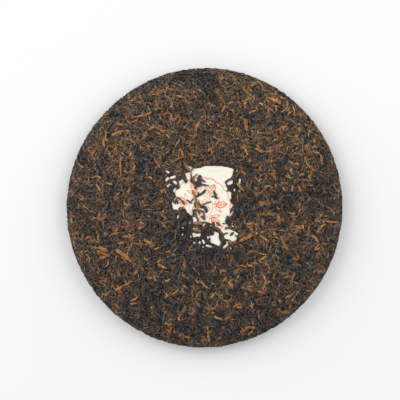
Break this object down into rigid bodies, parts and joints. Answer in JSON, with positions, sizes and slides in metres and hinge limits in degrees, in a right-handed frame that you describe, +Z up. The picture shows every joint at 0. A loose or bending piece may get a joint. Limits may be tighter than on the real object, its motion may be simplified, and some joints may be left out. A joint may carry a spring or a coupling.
{
  "type": "pressed pu erh tea cake",
  "caption": "Round pressed cake of fermented tea leaves, gently domed face with a paper ticket pressed in, flat back with a shallow pit.",
  "frame": {"origin": "middle of the underside, on the surface that the cake lies on", "axes": "+Z up through the cake, out of the domed face; +Y towards the top of the ticket; +X to the right of it"},
  "size_m": [0.199, 0.2014, 0.0231],
  "materials": {
    "pressed_tea": "matt pressed leaf, dark brown to charcoal with golden tips",
    "ticket_paper": "thin uncoated cream paper with an orange red print"
  },
  "bodies": {
    "root": {"tea_cake": "pressed_tea", "paper_ticket": "ticket_paper"}
  },
  "joints": []
}
